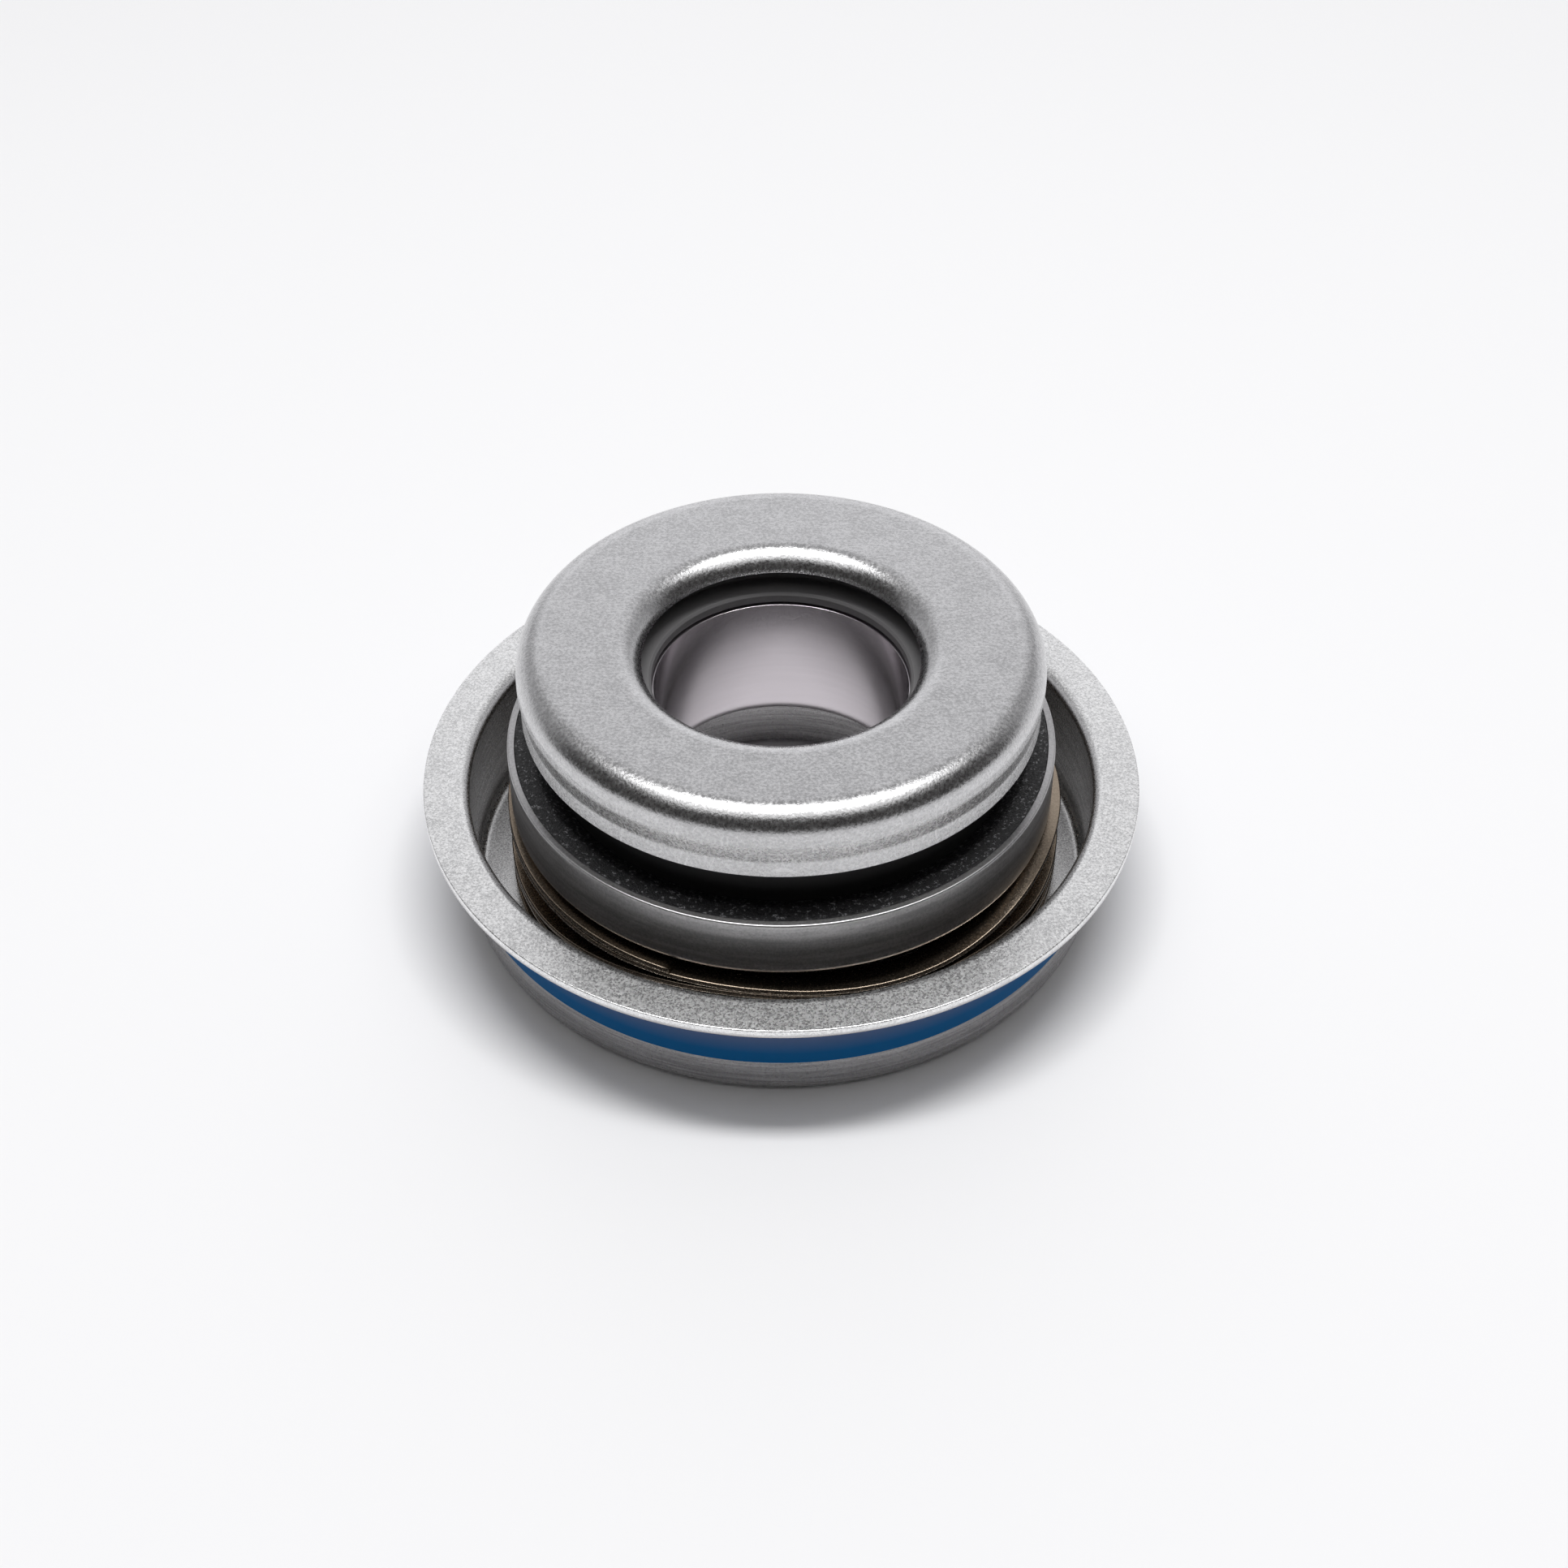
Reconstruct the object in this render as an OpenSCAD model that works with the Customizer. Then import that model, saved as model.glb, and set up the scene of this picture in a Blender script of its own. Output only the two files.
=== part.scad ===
// Cartridge shaft seal of a coolant pump, standing on the underside of its cup.
// The shaft runs along +Z through the origin. Every radial size is built up outward
// from the shaft, and every height upward from the underside of the cup.

/* [Shaft sleeve] */
// Diameter of the shaft that the sleeve is pressed on
bore_d = 12; // [10:0.1:16]
// Sheet thickness of the sleeve
sleeve_t = 0.45; // [0.3:0.01:0.6]
// Inside radius of the bend that turns the sleeve's lower end outward
flare_bend_r = 0.45; // [0.2:0.01:0.6]
// How far the sleeve's top edge lies below the face of the cap
sleeve_recess = 2.76; // [2.5:0.01:3.2]

/* [Cup] */
// Sheet thickness of the cup
cup_t = 0.45; // [0.3:0.01:0.6]
// Height of the flange's top face over the underside
cup_h = 6.2; // [5.5:0.1:8]
// Width of the flange outside the cup's wall
flange_w = 1.75; // [1:0.05:3]
// Inside radius of the tight bend under the flange
flange_bend_r = 0.08; // [0.05:0.01:0.3]
// Inside radius of the bend between wall and floor
floor_bend_r = 0.45; // [0.2:0.01:0.9]
// Inside radius of the bend between floor and inner tube
tube_bend_r = 0.65; // [0.3:0.01:0.9]
// Inside radius of the bend between inner tube and inner lip
lip_bend_r = 0.3; // [0.1:0.01:0.4]
// Height of the underside of the inner lip, which traps the sleeve
lip_h = 4.7; // [4.2:0.1:5]
// Radial overlap of the sleeve's flare behind the inner lip
catch_w = 0.65; // [0.4:0.01:0.9]
// Height of the bare wall below the sealant
bare_h = 2.2; // [1.5:0.1:3]
// Thickness of the sealant on the wall
sealant_t = 0.04; // [0.02:0.01:0.1]

/* [Seal head] */
// Width of the carbon's running face
nose_w = 1.15; // [0.8:0.01:1.5]
// Step from the carbon's running face out to its body
nose_step = 0.7; // [0.4:0.01:1]
// Height of the carbon's raised nose
nose_h = 0.6; // [0.4:0.01:1]
// Whole height of the carbon ring
carbon_h = 3.18; // [2.8:0.01:3.6]
// Depth of the carbon's underside below the rim of the shell
carbon_seat = 1.41; // [1:0.01:1.8]
// Rubber between the carbon and the shell
collar_w = 1.73; // [1.2:0.01:2]
// How far the rubber dips towards the carbon
collar_dip = 0.5; // [0.2:0.01:0.8]
// Rubber thickness of the bellows fold
fold_t = 0.8; // [0.5:0.01:0.9]
// Sheet thickness of the retainer shell
shell_t = 0.35; // [0.3:0.01:0.5]
// Height of the shell over the top of the spring
shell_h = 3.15; // [2.8:0.01:3.6]
// Inside radius of the bend between the shell's wall and its floor
shell_bend_r = 0.05; // [0.03:0.01:0.25]
// Radius on the outer edge of the shell's rim
shell_rim_r = 0.28; // [0.1:0.01:0.29]
// Height of the bellows foot on the cup's inner tube
grip_h = 1.8; // [1.2:0.1:2.2]
// Wall of the ring that clamps the bellows foot
clamp_t = 0.45; // [0.3:0.01:0.6]

/* [Wave spring] */
// Height of the spring between the cup's floor and the shell's floor
spring_h = 4.81; // [4.4:0.01:6]
// Thickness of the flat wire
wire_t = 0.28; // [0.2:0.01:0.32]
// Radial width of the flat wire
wire_w = 1.3; // [1:0.01:1.4]
// Turns of wire
turns = 4.65; // [3:0.05:5.5]
// Waves in each turn: a half wave over, so that crests meet troughs
waves = 3.5; // [2.5:1:4.5]
// How strongly the waves bunch up on one side of the spring
bunching = 1.2; // [0:0.1:1.5]
// Direction in which the waves bunch up
bunch_angle = -55; // [-180:5:180]
// Direction in which the upper cut end of the wire lies
end_angle = -113; // [-180:1:180]
// Direction of the trough next to the upper cut end
trough_angle = -95; // [-180:1:180]

/* [Rotor] */
// Sheet thickness of the cap
cap_t = 0.45; // [0.3:0.01:0.6]
// Radial gap between the shaft and the cap's rolled lip
lip_gap = 0.6; // [0.3:0.01:0.8]
// Inside radius of the cap's rolled lip
roll_r = 1; // [0.8:0.01:1.1]
// Inside radius of the cap's outer corner
corner_r = 0.85; // [0.3:0.01:0.9]
// Height of the whole cap
skirt_h = 3.47; // [3.3:0.01:4]
// Height of the cap's bead, from its top face
bead_h = 1.6; // [1.4:0.01:2.1]
// How far the bead stands out from the skirt
bead_step = 0.1; // [0.05:0.01:0.2]
// How far the lower rim of the skirt flares out
rim_step = 0.04; // [0.02:0.01:0.15]
// Rubber inside the mating ring
boot_inner_w = 0.95; // [0.8:0.01:1.2]
// Rubber outside the mating ring
boot_outer_w = 0.9; // [0.5:0.01:1.1]
// Rubber between the mating ring and the cap
boot_top_h = 0.75; // [0.5:0.01:1]
// Margin of the mating ring outside the carbon's nose
ring_margin = 0.6; // [0.4:0.01:1]
// Height of the mating ring
ring_h = 2.7; // [2.4:0.01:3]

/* [Clearances] */
// Between the sleeve and the cup's inner lip
lip_clear = 0.5; // [0.3:0.01:0.8]
// Between the sleeve's flare and the cup's inner tube
flare_clear = 0.7; // [0.4:0.01:1]
// Height left between the flare and the lip that traps it
end_play = 0.07; // [0.03:0.01:0.2]
// Between the cup's inner tube and the carbon
head_clear = 0.4; // [0.3:0.01:0.7]
// Between the bellows fold and the spring
fold_clear = 0.5; // [0.3:0.01:0.7]
// Between the bellows fold and the edge of the shell's floor
floor_clear = 0.35; // [0.2:0.01:0.45]
// How far the spring stands out beyond the shell's wall
spring_out = 0.34; // [0.1:0.01:0.5]
// Between the spring and the cup's wall
wall_clear = 1.63; // [0.8:0.01:2]
// Water film between the running faces
film = 0.02; // [0.01:0.01:0.03]
// Between turns of the spring where they touch
turn_gap = 0.02; // [0.01:0.01:0.05]

/* [Hidden] */
$fn = 128;
bend_steps = 9;
wire_steps = 96; // in each turn

// Radii, outward from the shaft
bore_r = bore_d / 2;
sleeve_r = bore_r + sleeve_t;
lip_r = sleeve_r + lip_clear;
flare_r = lip_r + catch_w;
tube_in_r = flare_r + flare_clear;
tube_r = tube_in_r + cup_t;
carbon_in_r = tube_r + head_clear;
nose_r = carbon_in_r + nose_w;
carbon_r = nose_r + nose_step;
shell_in_r = carbon_r + collar_w;
shell_r = shell_in_r + shell_t;
spring_r = shell_r + spring_out;
spring_in_r = spring_r - wire_w;
cup_in_r = spring_r + wall_clear;
cup_r = cup_in_r + cup_t;
flange_r = cup_r + flange_w;
grip_r = tube_r + fold_t;
fold_r = spring_in_r - fold_clear;
shell_floor_r = fold_r + floor_clear;
roll_in_r = bore_r + lip_gap;
ring_in_r = sleeve_r + boot_inner_w;
ring_r = nose_r + ring_margin;
skirt_in_r = ring_r + boot_outer_w;
skirt_r = skirt_in_r + cap_t;
bead_r = skirt_r + bead_step;
rim_r = skirt_r + rim_step;

// Heights, upward from the underside of the cup
seat_z = cup_h - cup_t;
shell_floor_z = cup_t + spring_h;
shell_z = shell_floor_z + shell_h;
carbon_z = shell_z - carbon_seat;
cushion_z = shell_floor_z + shell_t;
face_z = carbon_z + carbon_h;
ring_z = face_z + film;
ring_top_z = ring_z + ring_h;
cap_in_z = ring_top_z + boot_top_h;
cap_z = cap_in_z + cap_t;
rim_z = cap_z - skirt_h;
bead_z = cap_z - bead_h;
sleeve_z = cap_z - sleeve_recess;
roll_z = cap_in_z - roll_r;
flare_z = lip_h - end_play;
grip_z = cup_t + tube_bend_r;
grip_top_z = grip_z + grip_h;
fold_z = grip_top_z + fold_t;

// Small forms
bead_slope_h = 0.3;
soft_bend_r = 0.1;
cap_corner_r = min(corner_r, bead_h - cap_t - soft_bend_r); // fits in the bead
rubber_edge = 0.2;
clamp_inset = 0.1;
rim_flare_h = 0.5;
rib_h = 0.5;
rib_depth = 0.08;
groove_depth = 0.65;
boot_lift = 0.16;
edge_min = 0.02; // the least that an edge keeps or stands back
chamfer = 0.12;

// A vector of length one along v
function unit(v) = v / norm(v);

// v turned a quarter turn to the left
function left(v) = [-v[1], v[0]];

// How a path turns at vertex i: above zero to the left, below zero to the right
function turn(p, i) =
    let(u = p[i] - p[i - 1], v = p[i + 1] - p[i])
    u[0] * v[1] - u[1] * v[0];

// Vertex i of a path, after the path is moved d to its left
function side_vertex(p, i, d) =
    i == 0 ? p[0] + d * left(unit(p[1] - p[0]))
    : i == len(p) - 1 ? p[i] + d * left(unit(p[i] - p[i - 1]))
    : let(u = unit(p[i] - p[i - 1]), v = unit(p[i + 1] - p[i]))
      p[i] + d * (left(u) + left(v)) / (1 + u * v);

// Points of the arc of radius r that rounds the corner q between p and s
function rounded(p, q, s, r) =
    let(u = unit(p - q), v = unit(s - q))
    let(half = acos(u * v) / 2)
    let(c = q + unit(u + v) * r / sin(half))
    let(start = q + u * r / tan(half) - c)
    let(sweep = sign(turn([p, q, s], 1)) * (180 - 2 * half))
    let(a = atan2(start[1], start[0]))
    [for (k = [0:bend_steps])
        c + r * [cos(a + sweep * k / bend_steps), sin(a + sweep * k / bend_steps)]];

// One face of a bent sheet: its middle line moved d to the left, its corners rounded
function sheet_side(p, bend_r, t, d) = [
    for (i = [0:len(p) - 1])
        let(q = side_vertex(p, i, d))
        each i == 0 || i == len(p) - 1 ? [q]
            : rounded(side_vertex(p, i - 1, d), q, side_vertex(p, i + 1, d),
                      turn(p, i) * d > 0 ? bend_r[i] : bend_r[i] + t)
];

// Section of a sheet of thickness t bent along a middle line.
// bend_r holds the inside radius of the bend at each vertex.
module sheet_section(p, bend_r, t) {
    far_side = sheet_side(p, bend_r, t, -t / 2);
    polygon(concat(
        sheet_side(p, bend_r, t, t / 2),
        [for (i = [len(far_side) - 1:-1:0]) far_side[i]]
    ));
}

// Pressed sheet: a bent section turned about the shaft
module pressed(p, bend_r, t) {
    rotate_extrude() sheet_section(p, bend_r, t);
}

// Plain ring between two radii and two heights, its outer corners chamfered
module ring(r_in, r_out, z0, z1, edge) {
    rotate_extrude() polygon([
        [r_in, z0], [r_out - edge, z0], [r_out, z0 + edge],
        [r_out, z1 - edge], [r_out - edge, z1], [r_in, z1]
    ]);
}

// Flanged cup, drawn in one piece: flange, wall, floor, inner tube and inner lip
module housing_cup() {
    mid = cup_t / 2;
    color("silver")
        pressed(
            [[flange_r, cup_h - mid], [cup_r - mid, cup_h - mid], [cup_r - mid, mid],
             [tube_in_r + mid, mid], [tube_in_r + mid, lip_h + mid], [lip_r, lip_h + mid]],
            [0, flange_bend_r, floor_bend_r, tube_bend_r, lip_bend_r, 0],
            cup_t
        );
}

// Band of sealant coated on the upper wall of the cup, under the flange
module sealant_band() {
    color([0.1, 0.33, 0.55])
        ring(cup_r, cup_r + sealant_t, bare_h, seat_z - flange_bend_r, sealant_t / 2);
}

// Angle of the upper cut end, with the whole turns of the wire below it
function wire_angle(s) = end_angle + 360 * (s - turns);

// Phase of the waves: they bunch up towards bunch_angle and still fit the turn
function wave_phase(a) =
    waves * (a - trough_angle)
    + bunching * (sin(a - bunch_angle) - sin(trough_angle - bunch_angle)) * 180 / PI;

// Height of a wave from crest to trough, with which the turns just touch
wave_h = (spring_h - wire_t - turns * (wire_t + turn_gap)) / (turns + 1);
pitch = wave_h + wire_t + turn_gap;
first_z = cup_t + (wire_t + wave_h) / 2;

// Height of the middle of the wire after s turns
function wire_z(s) = first_z + pitch * s - wave_h / 2 * cos(wave_phase(wire_angle(s)));

// The four corners of the wire after s turns
function wire_corners(s) = [
    for (c = [[spring_in_r, -1], [spring_r, -1], [spring_r, 1], [spring_in_r, 1]])
        [c[0] * cos(wire_angle(s)), c[0] * sin(wire_angle(s)), wire_z(s) + c[1] * wire_t / 2]
];

// Wave spring: one flat wire wound edgewise, each turn resting on the next one's crests
module wave_spring() {
    steps = round(wire_steps * turns);
    points = [for (k = [0:steps]) each wire_corners(turns * k / steps)];
    sides = [
        for (k = [0:steps - 1], j = [0:3])
            let(a = 4 * k + j, b = 4 * k + (j + 1) % 4)
            each [[a, a + 4, b + 4], [a, b + 4, b]]
    ];
    last = 4 * steps;
    ends = [[0, 1, 2], [0, 2, 3], [last, last + 2, last + 1], [last, last + 3, last + 2]];
    color([0.55, 0.5, 0.43]) polyhedron(points, concat(sides, ends));
}

// Ring that clamps the foot of the bellows on the cup's inner tube, up to the rubber's bend
module bellows_clamp_ring() {
    color("silver")
        ring(grip_r, grip_r + clamp_t, grip_z + clamp_inset, grip_top_z - rubber_edge, chamfer);
}

// Shell round the seal head: the spring pushes on its floor, and its rim is rounded outside
module retainer_shell() {
    mid = shell_t / 2;
    path = [
        [shell_r - mid, shell_z], [shell_r - mid, shell_floor_z + mid],
        [shell_floor_r, shell_floor_z + mid]
    ];
    bend_r = [0, shell_bend_r, 0];
    outside = sheet_side(path, bend_r, shell_t, mid);
    inside = sheet_side(path, bend_r, shell_t, -mid);
    color("darkgray")
        rotate_extrude() polygon(concat(
            rounded(inside[0], outside[0], outside[1], min(shell_rim_r, shell_t - edge_min)),
            [for (i = [1:len(outside) - 1]) outside[i]],
            [for (i = [len(inside) - 1:-1:0]) inside[i]]
        ));
}

// Carbon ring, which does not turn, with its raised running face
module carbon_ring() {
    nose_z = face_z - nose_h;
    color([0.2, 0.2, 0.21])
        rotate_extrude() polygon([
            [carbon_in_r, carbon_z], [carbon_r, carbon_z],
            [carbon_r, nose_z - chamfer], [carbon_r - chamfer, nose_z],
            [nose_r, nose_z], [nose_r, face_z], [carbon_in_r, face_z]
        ]);
}

// Rubber bellows: collar and cushion of the carbon, one fold, and the foot on the tube
module bellows() {
    half = fold_t / 2;
    path = [
        [fold_r - half, cushion_z], [fold_r - half, fold_z - half],
        [tube_r + half, fold_z - half], [tube_r + half, grip_z]
    ];
    bend_r = [0, rubber_edge, rubber_edge, 0];
    outer = sheet_side(path, bend_r, fold_t, half);
    color([0.08, 0.08, 0.08])
        rotate_extrude() polygon(concat(
            [[carbon_in_r, carbon_z], [carbon_in_r, cushion_z]],
            sheet_side(path, bend_r, fold_t, -half),
            [for (i = [len(outer) - 1:-1:0]) outer[i]],
            [[shell_floor_r, cushion_z], [shell_in_r - shell_bend_r, cushion_z],
             [shell_in_r, cushion_z + shell_bend_r], [shell_in_r, shell_z - edge_min],
             [(carbon_r + shell_in_r) / 2, shell_z - edge_min],
             [carbon_r, shell_z - collar_dip], [carbon_r, carbon_z]]
        ));
}

// Sleeve on the shaft: its lower end is turned outward behind the cup's inner lip
module shaft_sleeve() {
    mid = sleeve_t / 2;
    color("gainsboro")
        pressed(
            [[bore_r + mid, sleeve_z], [bore_r + mid, flare_z - mid], [flare_r, flare_z - mid]],
            [0, flare_bend_r, 0],
            sleeve_t
        );
}

// Cap that turns with the shaft: rolled inner lip, flat face, bead and skirt
module rotor_cap() {
    mid = cap_t / 2;
    color("silver")
        pressed(
            [[roll_in_r + mid, roll_z], [roll_in_r + mid, cap_z - mid],
             [bead_r - mid, cap_z - mid], [bead_r - mid, bead_z],
             [skirt_r - mid, bead_z - bead_slope_h], [skirt_r - mid, rim_z + rim_flare_h],
             [rim_r - mid, rim_z]],
            [0, roll_r, cap_corner_r, soft_bend_r, soft_bend_r, soft_bend_r, 0],
            cap_t
        );
}

// Rubber boot that holds the mating ring in the cap and grips the sleeve, with a rib in the bore
module mating_ring_boot() {
    rib_r = sleeve_r - rib_depth;
    rib_z = sleeve_z + chamfer;
    groove_r = sleeve_r + groove_depth;
    foot_of_boot_z = rim_z + boot_lift;
    color([0.1, 0.1, 0.1])
        rotate_extrude() polygon([
            [sleeve_r, foot_of_boot_z], [ring_in_r, foot_of_boot_z],
            [ring_in_r, ring_top_z], [ring_r, ring_top_z],
            [ring_r, foot_of_boot_z], [skirt_in_r, foot_of_boot_z],
            [skirt_in_r, cap_in_z - cap_corner_r], [skirt_in_r - cap_corner_r, cap_in_z],
            [roll_in_r + cap_t + roll_r, cap_in_z], [groove_r, ring_top_z - chamfer],
            [groove_r, rib_z + rib_h + chamfer],
            [rib_r + chamfer, rib_z + rib_h], [rib_r, rib_z + rib_h - chamfer],
            [rib_r, rib_z], [sleeve_r, sleeve_z]
        ]);
}

// Hard mating ring, which turns against the carbon's nose
module mating_ring() {
    color("whitesmoke") ring(ring_in_r, ring_r, ring_z, ring_top_z, chamfer);
}

housing_cup();
sealant_band();
wave_spring();
bellows_clamp_ring();
retainer_shell();
carbon_ring();
bellows();
shaft_sleeve();
rotor_cap();
mating_ring_boot();
mating_ring();
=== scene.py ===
# %% [markdown]
# A cartridge shaft seal of a coolant pump
#
# Nearly every piece of this seal is turned about the shaft, so its looks rest on
# three things: true sections with soft bends, metal finishes that differ from
# piece to piece, and a studio whose reflections the metal can show.
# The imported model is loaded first. It gives every size and place, in metres.

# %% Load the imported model
import math
import bpy
import numpy as np
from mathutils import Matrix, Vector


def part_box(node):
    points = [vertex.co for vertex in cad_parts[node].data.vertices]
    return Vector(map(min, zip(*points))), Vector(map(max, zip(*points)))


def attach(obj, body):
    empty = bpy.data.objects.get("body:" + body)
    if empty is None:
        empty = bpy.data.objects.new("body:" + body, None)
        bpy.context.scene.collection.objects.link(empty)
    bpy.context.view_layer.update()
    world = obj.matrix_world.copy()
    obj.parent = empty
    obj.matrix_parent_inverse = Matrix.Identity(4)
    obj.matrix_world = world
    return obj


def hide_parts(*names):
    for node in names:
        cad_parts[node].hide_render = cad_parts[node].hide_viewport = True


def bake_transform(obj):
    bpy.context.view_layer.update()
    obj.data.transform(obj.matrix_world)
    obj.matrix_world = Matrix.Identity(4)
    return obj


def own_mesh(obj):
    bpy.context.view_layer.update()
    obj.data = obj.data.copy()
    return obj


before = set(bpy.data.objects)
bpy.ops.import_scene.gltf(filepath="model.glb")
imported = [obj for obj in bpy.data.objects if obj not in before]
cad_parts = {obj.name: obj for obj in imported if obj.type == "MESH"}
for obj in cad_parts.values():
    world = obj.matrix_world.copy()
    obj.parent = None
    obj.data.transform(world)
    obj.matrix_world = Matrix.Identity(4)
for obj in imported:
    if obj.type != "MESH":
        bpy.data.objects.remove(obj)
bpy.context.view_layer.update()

MM = 0.001

# %% [markdown]
# Sizes
#
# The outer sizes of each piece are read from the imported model, in millimetres. Only
# what a box can't tell, such as a sheet's thickness, is written down here, in the
# cell that first needs it.

# %% Sizes read from the frame
def radius(node):
    """Outer radius of a node in millimetres: the shorter reach of its box to either side."""
    low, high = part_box(node)
    return min(-low[0], high[0]) / MM


def heights(node):
    """Lowest and highest point of a node in millimetres."""
    low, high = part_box(node)
    return low[2] / MM, high[2] / MM


for node in sorted(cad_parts):
    print("%s: radius %.2f mm, from %.2f to %.2f mm" % (node, radius(node), *heights(node)))

# %% [markdown]
# Sections
#
# Every section is a list of corners, with three numbers each: radius, height and the
# rounding there. Each corner becomes an arc, so light runs softly over the bends.
# A pressed sheet is drawn as its middle line, a few straight legs with a bend at
# each corner. Moving that line half a thickness to each side gives the section, and
# the sheet keeps its thickness round every bend, as a drawn part does.

# %% Rounded outlines
ARC_STEP = 7.0  # most degrees between two points of an arc


def arc_points(p, q, s, r):
    """Points of the arc of radius r that touches q-p and q-s: its centre lies on the
    corner's bisector at r / sin(half the corner's angle), and it spans 180 degrees
    less that angle."""
    u = (p - q) / np.linalg.norm(p - q)
    v = (s - q) / np.linalg.norm(s - q)
    half = np.arccos(np.clip(u @ v, -1, 1)) / 2
    if r <= 0 or half > math.radians(89.5):
        return q[None]
    r = min(r, 0.999 * min(np.linalg.norm(p - q), np.linalg.norm(s - q)) * np.tan(half))
    centre = q + (u + v) / np.linalg.norm(u + v) * r / np.sin(half)
    start = q + u * r / np.tan(half) - centre
    turn = (q - p)[0] * (s - q)[1] - (q - p)[1] * (s - q)[0]
    sweep = np.sign(turn) * (np.pi - 2 * half)
    count = max(3, int(np.ceil(abs(np.degrees(sweep)) / ARC_STEP)) + 1)
    a = np.arctan2(start[1], start[0]) + np.linspace(0, sweep, count)
    return centre + r * np.stack([np.cos(a), np.sin(a)], axis=1)


def rounded_outline(corners, support=0.03):
    """Closed outline with each corner (radius, height, rounding) replaced by its arc. Long
    straight stretches get a support point near each end, so that smooth shading leaves
    them flat."""
    corners = np.array(corners, float)
    points, rounding = corners[:, :2], corners[:, 2]
    n = len(points)
    arcs = [arc_points(points[i - 1], points[i], points[(i + 1) % n], rounding[i]) for i in range(n)]
    out = []
    for i in range(n):
        out.append(arcs[i])
        a, b = arcs[i][-1], arcs[(i + 1) % n][0]
        length = np.linalg.norm(b - a)
        if length > 4 * support:
            d = (b - a) / length * support
            out.append(np.stack([a + d, b - d]))
    return np.concatenate(out)


def sheet_outline(path, t):
    """Outline of a sheet of thickness t along its middle line. A corner of the path is
    (radius, height, inside radius of the bend), and the outside of a bend has t more.
    At both ends the third number rounds the cut edge. A bend's corner moves half a
    thickness along the sum of its legs' normals, over 1 plus the cosine between them."""
    path = np.array(path, float)
    line, bends = path[:, :2], path[:, 2]
    last = len(path) - 1
    legs = [(line[i + 1] - line[i]) / np.linalg.norm(line[i + 1] - line[i]) for i in range(last)]
    left = [np.array([-d[1], d[0]]) for d in legs]
    sides = {1: [], -1: []}
    for side, corners in sides.items():
        for i in range(last + 1):
            if i in (0, last):
                offset, rounding = left[0 if i == 0 else -1], bends[i]
            else:
                offset = (left[i - 1] + left[i]) / (1 + legs[i - 1] @ legs[i])
                turn = legs[i - 1][0] * legs[i][1] - legs[i - 1][1] * legs[i][0]
                rounding = bends[i] if turn * side > 0 else bends[i] + t
            corners.append([*(line[i] + side * t / 2 * offset), rounding])
    return rounded_outline(sides[1] + sides[-1][::-1])


corner = arc_points(*np.array([(9.0, 0.0), (0.0, 0.0), (0.0, 9.0)]), 1.0)
print("a square corner becomes an arc of %d points" % len(corner))

# %% [markdown]
# From section to solid
#
# A lathe carries the outline once round the shaft, as turning and deep drawing do on
# the real pieces. Both directions of the grid close on themselves, so the mesh is
# watertight with no pole and no seam. The points are one numpy array, because a
# formula on whole arrays is short and fast.

# %% The lathe
SEGMENTS = 256


def grid_mesh(name, points, body, close_u=True, node=None, flip=False):
    """Mesh of a grid of points (u, v, 3) in millimetres, with quads between neighbours. It
    closes on itself along v, and along u too where close_u is true. It rides on its
    body and stands for a node."""
    nu, nv = points.shape[:2]
    a, b = np.meshgrid(np.arange(nu if close_u else nu - 1), np.arange(nv), indexing="ij")
    a2, b2 = (a + 1) % nu, (b + 1) % nv
    quads = np.stack([a * nv + b, a2 * nv + b, a2 * nv + b2, a * nv + b2], axis=-1).reshape(-1, 4)
    if flip:
        quads = quads[:, ::-1]
    mesh = bpy.data.meshes.new(name)
    mesh.from_pydata((points.reshape(-1, 3) * MM).tolist(), [], quads.tolist())
    mesh.polygons.foreach_set("use_smooth", np.ones(len(mesh.polygons), bool))
    mesh.update()
    piece = bpy.data.objects.new(name, mesh)
    bpy.context.scene.collection.objects.link(piece)
    if body:
        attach(piece, body)
    if node:
        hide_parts(node)
    print("%s: %d points" % (name, len(mesh.vertices)))
    return piece


def lathe_grid(outline):
    """Points (segment, outline point, 3): each outline point (radius, height) is carried
    round the shaft, x = r cos a and y = r sin a."""
    a = np.linspace(0, 2 * np.pi, SEGMENTS, endpoint=False)[:, None]
    r, z = outline[:, 0][None], outline[:, 1][None]
    return np.stack([r * np.cos(a), r * np.sin(a), z + 0 * a], axis=-1)


def turned(name, outline, body, node):
    """A turned piece: its outline runs either way, and the faces are made to point out. The
    sign of the outline's area, half the sum of r dz - z dr, says which way it runs."""
    r, z = outline[:, 0], outline[:, 1]
    area = np.sum(r * np.roll(z, -1) - np.roll(r, -1) * z) / 2
    return grid_mesh(name, lathe_grid(outline), body, node=node, flip=area < 0)


# %% [markdown]
# The cup
#
# One disc of stainless sheet is drawn into a wall, a floor and an inner tube, and
# trimmed to a flat flange. Its inner lip traps the sleeve. The bend under the
# flange is tight, because the flange has to sit flat on the pump housing.

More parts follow.
